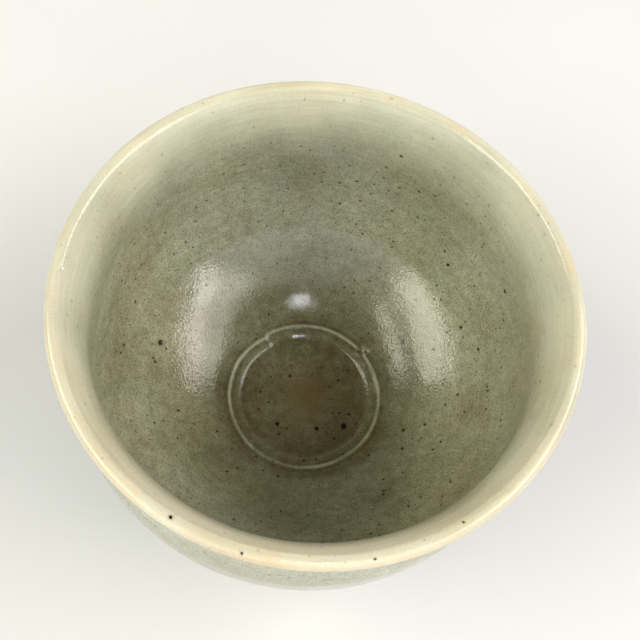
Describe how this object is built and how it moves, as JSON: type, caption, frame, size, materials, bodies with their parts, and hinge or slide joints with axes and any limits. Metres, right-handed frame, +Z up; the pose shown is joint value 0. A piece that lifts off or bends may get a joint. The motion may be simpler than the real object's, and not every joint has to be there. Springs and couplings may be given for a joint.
{
  "type": "matcha bowl",
  "caption": "Deep round ceramic tea bowl with a gently flared lip and a turned foot ring, for whisking and drinking powdered tea.",
  "frame": {"origin": "centre of the plane that the foot ring stands on", "axes": "+Z up along the bowl's turning axis; +X and +Y are any two level directions, as the bowl is round"},
  "size_m": [0.12, 0.12, 0.08],
  "materials": {
    "bare_clay": "matte",
    "glaze": "gloss",
    "foot_glaze": "gloss"
  },
  "bodies": {
    "root": {"clay_body": "bare_clay", "glaze_coat": "glaze", "foot_well_glaze": "foot_glaze"}
  },
  "joints": []
}
